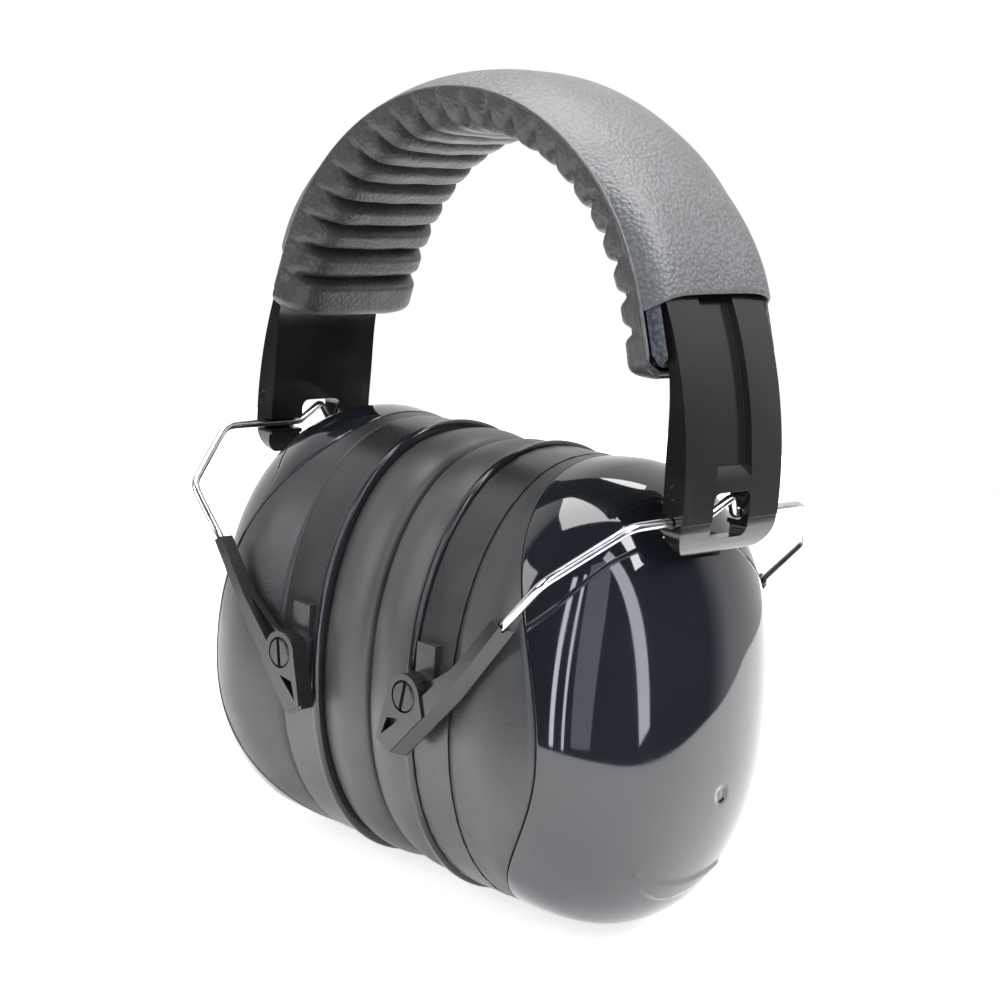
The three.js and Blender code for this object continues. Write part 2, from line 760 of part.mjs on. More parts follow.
const finishes = {
  grainedVinyl: { color: 0x4a4a4c, roughness: 0.62, metalness: 0 },
  paddingFoam: { color: 0x55565a, roughness: 0.95, metalness: 0 },
  ribbedVinyl: { color: 0x5c5a58, roughness: 0.6, metalness: 0 },
  backingCloth: { color: 0x2c2f36, roughness: 0.85, metalness: 0 },
  corePlastic: { color: 0x202022, roughness: 0.5, metalness: 0 },
  armPlastic: { color: 0x1c1b1b, roughness: 0.28, metalness: 0 },
  steelWire: { color: 0xc9c9cb, roughness: 0.18, metalness: 1 },
  yokePlastic: { color: 0x1b1b1c, roughness: 0.34, metalness: 0 },
  pinPlastic: { color: 0x19191a, roughness: 0.3, metalness: 0 },
  domeGloss: { color: 0x14161a, roughness: 0.06, metalness: 0 },
  bodyGrain: { color: 0x252527, roughness: 0.5, metalness: 0 },
  ringSatin: { color: 0x2a2a2b, roughness: 0.38, metalness: 0 },
  flangeGloss: { color: 0x17181b, roughness: 0.15, metalness: 0 },
  cushionVinyl: { color: 0x3c3b3b, roughness: 0.5, metalness: 0 },
  earFoam: { color: 0x46464a, roughness: 0.95, metalness: 0 },
};

const group = new THREE.Group();
group.name = 'earmuff';

function place(name, geometry, finish) {
  const material = new THREE.MeshStandardMaterial({ name: finish, ...finishes[finish] });
  const mesh = new THREE.Mesh(geometry, material);
  mesh.name = name;
  group.add(mesh);
}

function placePair(name, geometry, finish) {
  place(`right_${name}`, geometry, finish);
  place(`left_${name}`, mirrored(geometry, 'x'), finish);
}

function placeFour(name, geometry, finish) {
  placePair(`front_${name}`, geometry, finish);
  placePair(`rear_${name}`, mirrored(geometry, 'y'), finish);
}

place('band_core', coreGeometry(), 'corePlastic');
place('band_cover', coverGeometry(), 'grainedVinyl');
place('cover_foam', coverFoamGeometry(), 'paddingFoam');
place('head_pad', padGeometry(), 'ribbedVinyl');
placePair('pad_backing', backingGeometry(), 'backingCloth');
placePair('slider_arm', armGeometry(), 'armPlastic');
placePair('fork_wire', wireGeometry(), 'steelWire');
placeFour('yoke_arm', yokeGeometry(), 'yokePlastic');
placeFour('pivot_pin', pinGeometry(), 'pinPlastic');
placePair('cup_dome', domeGeometry(), 'domeGloss');
placePair('cup_body', shellGeometry(), 'bodyGrain');
placePair('cup_ring', ringGeometry(), 'ringSatin');
placePair('cushion_plate', flangeGeometry(), 'flangeGloss');
placePair('ear_cushion', cushionGeometry(), 'cushionVinyl');
placePair('cushion_foam', cushionFoamGeometry(), 'earFoam');
placePair('cup_liner', linerGeometry(), 'earFoam');

export default group;
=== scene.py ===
import bpy
import math
from mathutils import Matrix, Quaternion, Vector, noise


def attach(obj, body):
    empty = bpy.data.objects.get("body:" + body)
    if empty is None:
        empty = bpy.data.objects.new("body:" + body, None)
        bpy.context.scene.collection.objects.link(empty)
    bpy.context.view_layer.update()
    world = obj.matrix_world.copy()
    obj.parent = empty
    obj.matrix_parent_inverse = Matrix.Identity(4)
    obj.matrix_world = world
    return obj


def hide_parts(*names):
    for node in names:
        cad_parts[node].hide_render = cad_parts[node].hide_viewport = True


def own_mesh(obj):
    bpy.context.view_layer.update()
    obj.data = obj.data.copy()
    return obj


# Earmuff hearing protector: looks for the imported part. Metres, +Z up, +X the side called right, -Y the front.

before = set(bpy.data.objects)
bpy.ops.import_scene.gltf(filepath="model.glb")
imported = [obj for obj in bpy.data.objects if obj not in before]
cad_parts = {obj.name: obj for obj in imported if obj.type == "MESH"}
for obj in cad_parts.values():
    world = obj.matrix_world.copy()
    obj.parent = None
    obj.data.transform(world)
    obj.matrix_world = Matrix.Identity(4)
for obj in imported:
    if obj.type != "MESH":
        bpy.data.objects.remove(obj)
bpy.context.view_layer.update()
mm = 0.001
sides = {"right": 1, "left": -1}
print("frame loaded:", len(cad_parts), "nodes")


# an sRGB hex colour as the linear one that a shader takes
def linear(hexColour):
    parts = [int(hexColour[i:i + 2], 16) / 255 for i in (1, 3, 5)]
    return [c / 12.92 if c <= 0.04045 else ((c + 0.055) / 1.055) ** 2.4 for c in parts] + [1]


def addNode(tree, kind, settings=None, links=None, **sockets):
    node = tree.nodes.new(kind)
    for name, value in (settings or {}).items():
        setattr(node, name, value)
    for name, value in sockets.items():
        node.inputs[name.replace("_", " ")].default_value = value
    for name, source in (links or {}).items():
        tree.links.new(source, node.inputs[name])
    return node


def newMaterial(name, **shaderValues):
    material = bpy.data.materials.new(name)
    material.use_nodes = True
    tree = material.node_tree
    shader = tree.nodes["Principled BSDF"]
    for socket, value in shaderValues.items():
        shader.inputs[socket.replace("_", " ")].default_value = value
    place = addNode(tree, "ShaderNodeTexCoord").outputs["Object"]
    return material, tree, shader, place


# a colour that drifts slowly between two near shades over the given size in metres
def blotchColour(tree, place, shader, dark, light, size, low=0.35, high=0.65):
    cloud = addNode(tree, "ShaderNodeTexNoise", links={"Vector": place}, Scale=1 / size, Detail=4)
    ramp = addNode(tree, "ShaderNodeValToRGB", links={"Fac": cloud.outputs["Fac"]})
    ramp.color_ramp.elements[0].position = low
    ramp.color_ramp.elements[1].position = high
    ramp.color_ramp.elements[0].color = linear(dark)
    ramp.color_ramp.elements[1].color = linear(light)
    tree.links.new(ramp.outputs["Color"], shader.inputs["Base Color"])
    return ramp


# handling leaves a surface a little shinier in one place than in another
def roughnessRange(tree, place, shader, low, high, size):
    cloud = addNode(tree, "ShaderNodeTexNoise", links={"Vector": place}, Scale=1 / size, Detail=5)
    span = addNode(tree, "ShaderNodeMapRange", links={"Value": cloud.outputs["Fac"]},
                   From_Min=0.3, From_Max=0.7, To_Min=low, To_Max=high)
    tree.links.new(span.outputs["Result"], shader.inputs["Roughness"])


# the surface relief that a height value gives, depth in metres
def addRelief(tree, shader, height, strength, depth, sunk=False):
    bump = addNode(tree, "ShaderNodeBump", {"invert": sunk}, {"Height": height},
                   Strength=strength, Distance=depth)
    tree.links.new(bump.outputs["Normal"], shader.inputs["Normal"])


# PVC leathercloth, embossed and welded: small soft highlights broken up by a pebble grain, its creases darkened
# with painted shade
# cell is the size of a pebble, and depth is how far the creases between the pebbles go in
coverGrain = {"cell": 0.95 * mm, "depth": 0.24 * mm, "dark": "#4f5051", "light": "#58595a"}
padGrain = {"cell": 1.0 * mm, "depth": 0.16 * mm, "dark": "#30302f", "light": "#3a3a38"}
weldGrain = {"cell": 1.6 * mm, "depth": 0.05 * mm, "dark": "#4b4c4e", "light": "#5a5b5d"}


def pebbledVinyl(name, grain):
    material, tree, shader, place = newMaterial(name, IOR=1.53, Roughness=0.42)
    colour = blotchColour(tree, place, shader, grain["dark"], grain["light"], 18 * mm)
    warp = addNode(tree, "ShaderNodeTexNoise", links={"Vector": place}, Scale=1 / (3 * mm), Detail=2)
    shift = addNode(tree, "ShaderNodeVectorMath", {"operation": "MULTIPLY_ADD"},
                    {0: warp.outputs["Color"], 2: place})
    shift.inputs[1].default_value = (0.5 * mm,) * 3
    cells = addNode(tree, "ShaderNodeTexVoronoi", {"feature": "SMOOTH_F1"},
                    {"Vector": shift.outputs["Vector"]}, Scale=1 / grain["cell"], Smoothness=0.35)
    # painted shade: the colour darkens towards the creases between the pebbles
    crease = addNode(tree, "ShaderNodeMapRange", links={"Value": cells.outputs["Distance"]}, From_Min=0.3,
                     From_Max=0.62, To_Min=1, To_Max=0.74)
    shaded = addNode(tree, "ShaderNodeVectorMath", {"operation": "SCALE"},
                     {"Vector": colour.outputs["Color"], "Scale": crease.outputs["Result"]})
    tree.links.new(shaded.outputs["Vector"], shader.inputs["Base Color"])
    fine = addNode(tree, "ShaderNodeTexNoise", links={"Vector": place}, Scale=1 / (0.3 * mm), Detail=3)
    both = addNode(tree, "ShaderNodeMath", {"operation": "MULTIPLY_ADD"},
                   {0: fine.outputs["Fac"], 2: cells.outputs["Distance"]})
    both.inputs[1].default_value = -0.25
    addRelief(tree, shader, both.outputs["Value"], 0.9, grain["depth"], sunk=True)
    roughnessRange(tree, place, shader, 0.42, 0.52, 9 * mm)
    return material


coverVinyl = pebbledVinyl("coverVinylPebbled", coverGrain)
padVinyl = pebbledVinyl("padVinylPebbled", padGrain)
weldVinyl = pebbledVinyl("weldVinylPressed", weldGrain)

# soft PVC skin pressed smooth: an even sheen with only a faint skin texture
cushionVinyl, tree, shader, place = newMaterial("cushionVinylSmooth", IOR=1.52, Roughness=0.44)
blotchColour(tree, place, shader, "#383636", "#413f3e", 30 * mm)
skin = addNode(tree, "ShaderNodeTexNoise", links={"Vector": place}, Scale=1 / (0.7 * mm), Detail=4)
addRelief(tree, shader, skin.outputs["Fac"], 0.12, 0.1 * mm)
roughnessRange(tree, place, shader, 0.4, 0.5, 12 * mm)

# injection-moulded ABS from a mirror-polished tool: sharp reflections over a near-black body colour
domeGloss, tree, shader, place = newMaterial("domeGlossABS", IOR=1.54, Roughness=0.05, Coat_Weight=0.25,
                                             Coat_Roughness=0.03)
blotchColour(tree, place, shader, "#14171b", "#181b20", 40 * mm)
ripple = addNode(tree, "ShaderNodeTexNoise", links={"Vector": place}, Scale=1 / (22 * mm), Detail=1)
addRelief(tree, shader, ripple.outputs["Fac"], 0.05, 0.3 * mm)
roughnessRange(tree, place, shader, 0.035, 0.075, 14 * mm)


# the same ABS from a spark-eroded tool: fine raised grain that spreads the light
def mouldedGrain(name, dark, light, rough, grain, depth):
    material, tree, shader, place = newMaterial(name, IOR=1.54, Roughness=rough)
    blotchColour(tree, place, shader, dark, light, 16 * mm)
    speckle = addNode(tree, "ShaderNodeTexNoise", links={"Vector": place}, Scale=1 / grain, Detail=3)
    addRelief(tree, shader, speckle.outputs["Fac"], 0.6, depth)
    roughnessRange(tree, place, shader, rough - 0.05, rough + 0.06, 10 * mm)
    return material


bodyGrain = mouldedGrain("cupBodySparkGrainABS", "#262728", "#2c2d2e", 0.42, 0.7 * mm, 0.12 * mm)
ringSatin = mouldedGrain("cupRingSatinABS", "#252526", "#2b2b2b", 0.3, 0.5 * mm, 0.02 * mm)
plateGloss = mouldedGrain("plateGlossABS", "#1b1c1f", "#202124", 0.16, 3 * mm, 0.01 * mm)
armPlastic = mouldedGrain("armMouldedNylon", "#131110", "#181615", 0.15, 0.6 * mm, 0.004 * mm)
yokePlastic = mouldedGrain("yokeMouldedNylon", "#151414", "#1b1a1a", 0.22, 0.6 * mm, 0.006 * mm)
pinPlastic = mouldedGrain("pinMouldedNylon", "#191919", "#202020", 0.3, 0.5 * mm, 0.008 * mm)
corePlastic = mouldedGrain("coreMouldedPolypropylene", "#1c1c1e", "#242426", 0.45, 0.8 * mm, 0.03 * mm)

# drawn spring steel, nickel plated: a bright mirror with faint drawing lines
wireSteel, tree, shader, place = newMaterial("wireNickelPlatedSteel", Metallic=1, Roughness=0.12)
blotchColour(tree, place, shader, "#bdbdbf", "#d6d6d8", 6 * mm)
roughnessRange(tree, place, shader, 0.16, 0.26, 2 * mm)


# open-cell polyurethane foam: matt, with pores that catch shade, painted into the colour
def poreFoam(name, dark, light, pore):
    material, tree, shader, place = newMaterial(name, IOR=1.45, Roughness=0.95)
    cells = addNode(tree, "ShaderNodeTexVoronoi", links={"Vector": place}, Scale=1 / pore)
    # painted shade: the colour is darkest in the middle of each pore and pales towards its rim
    ramp = addNode(tree, "ShaderNodeValToRGB", links={"Fac": cells.outputs["Distance"]})
    ramp.color_ramp.elements[0].color = linear(dark)
    ramp.color_ramp.elements[1].color = linear(light)
    tree.links.new(ramp.outputs["Color"], shader.inputs["Base Color"])
    addRelief(tree, shader, cells.outputs["Distance"], 0.8, pore / 2)
    return material


linerFoam = poreFoam("linerFoamPolyurethane", "#202124", "#4a4b4f", 1.4 * mm)

# pressed fibre sheet: matt, dark blue-grey, with a fleck of paler fibres
backingSheet, tree, shader, place = newMaterial("backingPressedFibre", IOR=1.45, Roughness=0.75)
blotchColour(tree, place, shader, "#24272d", "#4a4f58", 1.1 * mm, 0.4, 0.7)
fibres = addNode(tree, "ShaderNodeTexNoise", links={"Vector": place}, Scale=1 / (0.6 * mm), Detail=5)
addRelief(tree, shader, fibres.outputs["Fac"], 0.7, 0.2 * mm)
print("materials made")


def selectOnly(piece):
    bpy.ops.object.select_all(action="DESELECT")
    piece.select_set(True)
    bpy.context.view_layer.objects.active = piece


def copyNode(node, name, material):
    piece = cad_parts[node].copy()
    piece.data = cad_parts[node].data.copy()
    piece.name = name
    piece.parent = None
    piece.matrix_world = Matrix.Identity(4)
    bpy.context.scene.collection.objects.link(piece)
    piece.data.materials.clear()
    piece.data.materials.append(material)
    selectOnly(piece)
    bpy.ops.object.mode_set(mode="EDIT")
    bpy.ops.mesh.select_all(action="SELECT")
    bpy.ops.mesh.remove_doubles(threshold=0.00002)
    bpy.ops.object.mode_set(mode="OBJECT")
    return piece


def applyModifier(piece, kind, **settings):
    selectOnly(piece)
    modifier = piece.modifiers.new(kind.lower(), kind)
    for name, value in settings.items():
        setattr(modifier, name, value)
    bpy.ops.object.modifier_apply(modifier=modifier.name)


def smoothByAngle(piece, angle=35):
    selectOnly(piece)
    bpy.ops.object.shade_smooth_by_angle(angle=math.radians(angle))


# a finer copy of a smooth moulded shell: quads again, its sharp edges creased, then subdivided
def fineShell(node, name, material, crease=28, levels=2):
    piece = copyNode(node, name, material)
    bpy.ops.object.mode_set(mode="EDIT")
    bpy.ops.mesh.select_all(action="SELECT")
    bpy.ops.mesh.tris_convert_to_quads(face_threshold=math.radians(40), shape_threshold=math.radians(60))
    bpy.ops.mesh.select_all(action="DESELECT")
    bpy.ops.mesh.select_mode(type="EDGE")
    bpy.ops.mesh.edges_select_sharp(sharpness=math.radians(crease))
    bpy.ops.transform.edge_crease(value=0.85)
    bpy.ops.object.mode_set(mode="OBJECT")
    applyModifier(piece, "SUBSURF", levels=levels, render_levels=levels, boundary_smooth="PRESERVE_CORNERS")
    smoothByAngle(piece, 40)
    return piece


# a copy of a moulded piece with its edges softened, as a mould leaves them, and its flat faces kept flat
def softEdged(node, name, material, radius, segments=2):
    piece = copyNode(node, name, material)
    bpy.ops.object.mode_set(mode="EDIT")
    bpy.ops.mesh.select_all(action="SELECT")
    bpy.ops.mesh.dissolve_limited(angle_limit=math.radians(0.4))
    bpy.ops.object.mode_set(mode="OBJECT")
    applyModifier(piece, "BEVEL", width=radius, segments=segments, limit_method="ANGLE",
                  angle_limit=math.radians(30))
    smoothByAngle(piece, 40)
    applyModifier(piece, "WEIGHTED_NORMAL", mode="FACE_AREA", weight=80, keep_sharp=True)
    return piece


# where the camera stands: angles in degrees, distance and target in metres, lens in mm
camera = {"azimuth": 43.93, "elevation": 9.57, "roll": 4.13, "distance": 0.5295, "lens": 77.58,
          "target": (0, 0, 0.105), "shiftX": 0.001, "shiftY": -0.0427}


def addCamera():
    azimuth, elevation, roll = (math.radians(camera[key]) for key in ("azimuth", "elevation", "roll"))
    back = Vector((math.sin(azimuth) * math.cos(elevation), -math.cos(azimuth) * math.cos(elevation),
                   math.sin(elevation)))
    level = Vector((math.cos(azimuth), math.sin(azimuth), 0))
    above = back.cross(level)
    right = level * math.cos(roll) + above * math.sin(roll)
    up = above * math.cos(roll) - level * math.sin(roll)
    data = bpy.data.cameras.new("camera")
    data.sensor_width = 36
    data.lens = camera["lens"]
    data.shift_x = camera["shiftX"]
    data.shift_y = camera["shiftY"]
    data.clip_start = 0.01
    holder = bpy.data.objects.new("camera", data)
    bpy.context.scene.collection.objects.link(holder)
    place = Matrix((right, up, back)).transposed().to_4x4()
    place.translation = Vector(camera["target"]) + back * camera["distance"]
    holder.matrix_world = place
    bpy.context.scene.camera = holder


addCamera()
print("camera placed")

# the headband's edge line is an arc between two straight ends, in mm and degrees
band = {"radius": 62.7, "centreZ": 131.4, "startAngle": 17, "straight": 15, "halfWidth": 21.7,
        "crownTop": 4.8, "crownEnd": 5.7}
arcLength = band["radius"] * math.radians(180 - 2 * band["startAngle"])
bandLength = arcLength + 2 * band["straight"]


# a point above the band's edge line, in metres; travel runs from the right end to the left end
def onBand(travel, across, height):
    along = travel - band["straight"]
    held = min(max(along, 0), arcLength)
    angle = math.radians(band["startAngle"]) + held / band["radius"]
    reach = band["radius"] + height
    x = math.cos(angle) * reach - math.sin(angle) * (along - held)
    z = math.sin(angle) * reach + math.cos(angle) * (along - held) + band["centreZ"]
    return (x * mm, across * mm, z * mm)


def smoothStep(value, low, high):
    t = min(max((value - low) / (high - low), 0), 1)
    return t * t * (3 - 2 * t)


cover = {"along": 170, "across": 56, "thickness": 1.1, "edgeTravel": 16.4, "cornerDrop": 2.6,
         "endBlend": (18, 50), "crownPower": 2.7, "endPowerGain": 7.3, "swell": 0.25, "swellSize": 22}


def crown(travel, across):
    near = 1 - smoothStep(min(travel, bandLength - travel), *cover["endBlend"])
    height = band["crownTop"] + (band["crownEnd"] - band["crownTop"]) * near
    power = cover["crownPower"] + cover["endPowerGain"] * near
    return height * (1 - abs(across / band["halfWidth"]) ** power)


# a flat grid laid over the headband: shape(u, v) gives travel, across and height, with u and v from 0 to 1
def layGrid(name, along, across, shape, material):
    bpy.ops.object.select_all(action="DESELECT")
    bpy.ops.mesh.primitive_grid_add(x_subdivisions=along, y_subdivisions=across, size=1, location=(0, 0, 0))
    piece = bpy.context.object
    piece.name = name
    piece.data.materials.append(material)
    for vertex in piece.data.vertices:
        vertex.co = onBand(*shape(vertex.co.x + 0.5, vertex.co.y + 0.5))
    return piece


def turnOutward(piece):
    selectOnly(piece)
    bpy.ops.object.mode_set(mode="EDIT")
    bpy.ops.mesh.select_all(action="SELECT")
    bpy.ops.mesh.normals_make_consistent(inside=False)
    bpy.ops.object.mode_set(mode="OBJECT")


# soft goods are never quite even: a slow swell of the surface, the same at every run
def swell(piece, height, size):
    piece.data.update()
    pushes = [v.normal * height * noise.noise(v.co / size) for v in piece.data.vertices]
    for vertex, push in zip(piece.data.vertices, pushes):
        vertex.co += push


def coverShape(u, v):
    across = -band["halfWidth"] * math.cos(math.pi * v)
    start = cover["edgeTravel"] - cover["cornerDrop"] * abs(across / band["halfWidth"]) ** 5
    travel = start + (bandLength - 2 * start) * u
    return travel, across, crown(travel, across)


def makeCover():
    piece = layGrid("headband_cover", cover["along"], cover["across"], coverShape, coverVinyl)
    swell(piece, cover["swell"] * mm, cover["swellSize"] * mm)
    turnOutward(piece)
    applyModifier(piece, "SOLIDIFY", thickness=cover["thickness"] * mm, offset=-1)
    applyModifier(piece, "SUBSURF", levels=1, render_levels=1)
    smoothByAngle(piece, 60)
    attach(piece, "headband")
    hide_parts("band_cover", "cover_foam")


pad = {"ribs": 20, "firstRib": 10.5, "crest": 9.6, "valley": 5.1, "along": 620, "across": 44, "skin": 0.8,
       "margin": 0.4, "inset": 0.3, "cornerCut": 3.6, "cornerEnd": 4.2, "endRound": 3.4, "wallPower": 9,
       "sideDrop": 0.9, "crease": 0.11, "pinch": 0.035, "valleyPinch": 0.06, "swell": 0.3, "swellSize": 7,
       "endValley": 0.3, "valleyShare": 0.36, "valleyPower": 0.75}


def valleyAt(travel):
    fromEnd = min(travel, bandLength - travel)
    pitch = (bandLength - 2 * pad["firstRib"]) / pad["ribs"]
    if fromEnd < pad["firstRib"]:
        return 1 - smoothStep(pad["firstRib"] - fromEnd, 0, pitch * pad["endValley"])
    phase = ((fromEnd - pad["firstRib"]) / pitch) % 1
    return 1 - smoothStep(min(phase, 1 - phase), 0, pad["valleyShare"]) ** pad["valleyPower"]


def padShape(u, v):
    travel = pad["margin"] + (bandLength - 2 * pad["margin"]) * u
    fromEnd = min(travel, bandLength - travel)
    share = -math.cos(math.pi * v)
    valley = valleyAt(travel)
    corner = pad["cornerCut"] * (1 - smoothStep(fromEnd, 0.2, pad["cornerEnd"])) ** 2
    half = band["halfWidth"] - pad["inset"] - corner
    wall = (1 - abs(share) ** pad["wallPower"]) ** 0.5
    end = (1 - (1 - min(fromEnd / pad["endRound"], 1)) ** 2.6) ** 0.55
    crease = pad["crease"] * math.sin(travel * 2.1 + share * 3) * valley
    groove = (pad["crest"] - pad["valley"]) * valley * wall
    depth = (pad["crest"] - groove - pad["sideDrop"] * share * share + crease) * end
    pinch = 1 - (pad["pinch"] + pad["valleyPinch"] * valley) * wall * smoothStep(abs(share), 0.3, 0.9)
    return travel, half * share * pinch, -pad["inset"] - depth * wall


def makePad():
    piece = layGrid("head_pad_ribbed", pad["along"], pad["across"], padShape, padVinyl)
    swell(piece, pad["swell"] * mm, pad["swellSize"] * mm)
    turnOutward(piece)
    applyModifier(piece, "SOLIDIFY", thickness=pad["skin"] * mm, offset=-1)
    smoothByAngle(piece, 60)
    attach(piece, "headband")
    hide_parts("head_pad")


weld = {"sink": 1.5, "radius": 0.55, "corner": 4, "half": 21.45, "end": 0.55, "around": 760, "section": 10}


# a point at share t of the way round the pad's outline, with the outward direction in the sheet
def outline(t):
    r = weld["corner"]
    long = bandLength - 2 * weld["end"] - 2 * r
    short = 2 * (weld["half"] - r)
    pieces = [long, math.pi * r / 2, short, math.pi * r / 2] * 2
    left = t * sum(pieces)
    x, y, heading = weld["end"] + r, -weld["half"], 0
    for index, length in enumerate(pieces):
        step = min(left, length)
        if index % 2:
            centre = (x - math.sin(heading) * r, y + math.cos(heading) * r)
            heading += step / r
            x, y = centre[0] + math.sin(heading) * r, centre[1] - math.cos(heading) * r
        else:
            x, y = x + math.cos(heading) * step, y + math.sin(heading) * step
        left -= step
        if left <= 0:
            break
    return x, y, math.sin(heading), -math.cos(heading)


def makeWeld():
    tube = 0.1
    bpy.ops.object.select_all(action="DESELECT")
    bpy.ops.mesh.primitive_torus_add(major_segments=weld["around"], minor_segments=weld["section"],
                                     major_radius=1, minor_radius=tube, location=(0, 0, 0))
    piece = bpy.context.object
    piece.name = "head_pad_weld_bead"
    piece.data.materials.append(weldVinyl)
    for vertex in piece.data.vertices:
        reach = math.hypot(vertex.co.x, vertex.co.y)
        turn = (math.atan2(vertex.co.y, vertex.co.x) / (2 * math.pi)) % 1
        x, y, outX, outY = outline(turn)
        out, lift = (reach - 1) / tube * weld["radius"], vertex.co.z / tube * weld["radius"]
        sink = weld["sink"] * (1 - smoothStep(min(x, bandLength - x), 0.6, 5))  # clear of the sliding arm
        vertex.co = onBand(x + outX * out, y + outY * out, -0.25 - sink + lift)
    turnOutward(piece)
    smoothByAngle(piece, 60)
    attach(piece, "headband")


# a pressed sheet that lies under the arm and stands up on both sides of it
backing = {"start": 1.6, "length": 19, "half": 20.7, "cheek": 17.7, "low": 0.5, "high": 2.9, "corner": 2.6,
           "sheet": 0.6, "along": 40, "across": 90}


def makeBacking(side):
    def shape(u, v):
        across = backing["half"] * (2 * v - 1)
        fromEdge = backing["half"] - abs(across)
        along = backing["length"] * u
        edge = min(smoothStep(fromEdge, 0, 1.2), smoothStep(along, 0, 1.5))
        rise = smoothStep(abs(across), backing["cheek"] - 0.1, backing["cheek"] + 0.7)
        height = backing["low"] + (backing["high"] - backing["low"]) * rise * edge
        rounded = backing["corner"] * (1 - smoothStep(fromEdge, 0, 3)) ** 2 * (1 - u)
        travel = backing["start"] + along + rounded
        return travel if side == "right" else bandLength - travel, across, height

    piece = layGrid(side + "_pad_backing_pressed", backing["along"], backing["across"], shape, backingSheet)
    turnOutward(piece)
    if piece.data.polygons[0].normal.x * sides[side] < 0:
        piece.data.flip_normals()
    applyModifier(piece, "SOLIDIFY", thickness=backing["sheet"] * mm, offset=-1)
    smoothByAngle(piece, 50)
    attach(piece, "headband")
    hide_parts(side + "_pad_backing")


makeCover()
makePad()
makeWeld()
for side in sides:
    makeBacking(side)
print("headband cover, pad, weld bead and backing made")

# circles as y, z and radius in mm: the crescent lies inside the lower one and outside the upper one
dome = {"upper": (0.97, 53.45, 35.3), "lower": (-1.49, 32.07, 19.0), "raise": 0.5, "ramp": 0.55,
        "dimple": (5.5, 38.3), "dimpleRadius": 2.9, "dimpleDepth": 0.5, "nub": 0.2}


# the low crescent and the small gate dimple moulded into each dome's end
def reliefAt(y, z):
    inside = min(dome["lower"][2] - math.hypot(y - dome["lower"][0], z - dome["lower"][1]),
                 math.hypot(y - dome["upper"][0], z - dome["upper"][1]) - dome["upper"][2])
    fromGate = math.hypot(y - dome["dimple"][0], z - dome["dimple"][1]) / dome["dimpleRadius"]
    pit = dome["dimpleDepth"] * (1 - smoothStep(fromGate, 0.3, 1))
    nub = dome["nub"] * (1 - smoothStep(fromGate, 0.1, 0.25))
    return dome["raise"] * smoothStep(inside, 0, dome["ramp"]) - (pit - nub)


cup = {"tipX": 73.5, "shoulderX": 29.5, "halfDepth": 41, "halfHeight": 54.9, "flareDepth": 4.2, "tipDrop": 11,
       "squareness": 2.15, "wall": 2.4, "midZ": 56, "seamTopX": 34, "seamSideX": 56, "seamLean": 3.5,
       "lipRound": 0.35}


# a point of the cup's outline at a distance x from the middle plane, in mm, inset from its outer surface
def cupPoint(x, angle, inset):
    tip = cup["tipX"] - inset
    t = min(max((x - cup["shoulderX"]) / (tip - cup["shoulderX"]), 0), 1)
    flare = smoothStep(t, 0, 0.36)
    depth = (cup["halfDepth"] + cup["flareDepth"] * flare - inset) * (1 - t ** 3) ** 0.48
    rise = (cup["halfHeight"] + 2 * flare - inset) * (1 - t ** 4.6) ** 0.37
    fall = (cup["halfHeight"] - 1.4 * flare - inset) * (1 - t ** 3.2) ** 0.48
    across, upward = math.cos(angle), math.sin(angle)
    power = 2 / cup["squareness"]
    height = rise if upward > 0 else fall
    y = depth * math.copysign(abs(across) ** power, across)
    z = cup["midZ"] - cup["tipDrop"] * t * t + height * math.copysign(abs(upward) ** power, upward)
    return x, y, z


def seamAt(angle):
    across = abs(math.cos(angle))
    swing = (cup["seamSideX"] - cup["seamTopX"]) * across ** 3
    return cup["seamTopX"] + swing - cup["seamLean"] * math.sin(angle) * across ** 2 + 0.15


# share 0 is the outer tip, then down the outside, round the lip and back up the inside to the inner tip
def domePoint(share, angle):
    rim, r = seamAt(angle), cup["lipRound"]
    if share < 0.62:
        e = share / 0.62
        return cupPoint(cup["tipX"] - (cup["tipX"] - rim - r) * e * e, angle, 0)
    if share < 0.66:
        turn = (share - 0.62) / 0.04 * math.pi / 2
        return cupPoint(rim + r - r * math.sin(turn), angle, r - r * math.cos(turn))
    e = (1 - share) / 0.34
    tip = cup["tipX"] - cup["wall"]
    return cupPoint(tip - (tip - rim) * e * e, angle, cup["wall"])


def makeDome(side):
    sign = sides[side]
    bpy.ops.object.select_all(action="DESELECT")
    bpy.ops.mesh.primitive_uv_sphere_add(segments=240, ring_count=170, radius=1, location=(0, 0, 0))
    piece = bpy.context.object
    piece.name = side + "_cup_dome_glossy"
    piece.data.materials.append(domeGloss)
    for vertex in piece.data.vertices:
        share = math.acos(min(max(vertex.co.z, -1), 1)) / math.pi
        x, y, z = domePoint(share, math.atan2(vertex.co.y, vertex.co.x))
        vertex.co = (x * sign * mm, y * sign * mm, z * mm)
    turnOutward(piece)
    piece.data.update()
    pushes = []
    for vertex in piece.data.vertices:
        outer = vertex.normal.x * sign > 0.2 and vertex.co.z < 45 * mm
        push = vertex.normal * reliefAt(vertex.co.y * sign / mm, vertex.co.z / mm) * mm
        pushes.append(push if outer else Vector())
    for vertex, push in zip(piece.data.vertices, pushes):
        vertex.co += push
    smoothByAngle(piece, 40)
    return piece


def finishCup(piece, side, slot, *nodes):
    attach(piece, side + "_cup")
    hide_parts(*[side + "_" + node for node in nodes])


liner = {"swell": 0.5, "swellSize": 9}
cushion = {"keep": 0.45, "swell": 0.22, "swellSize": 16, "plateX": 15.2}

# the small edge radii that a mould leaves
edgeRadius = {"ring": 0.25 * mm, "arm": 0.3 * mm, "yoke": 0.2 * mm, "pin": 0.1 * mm}

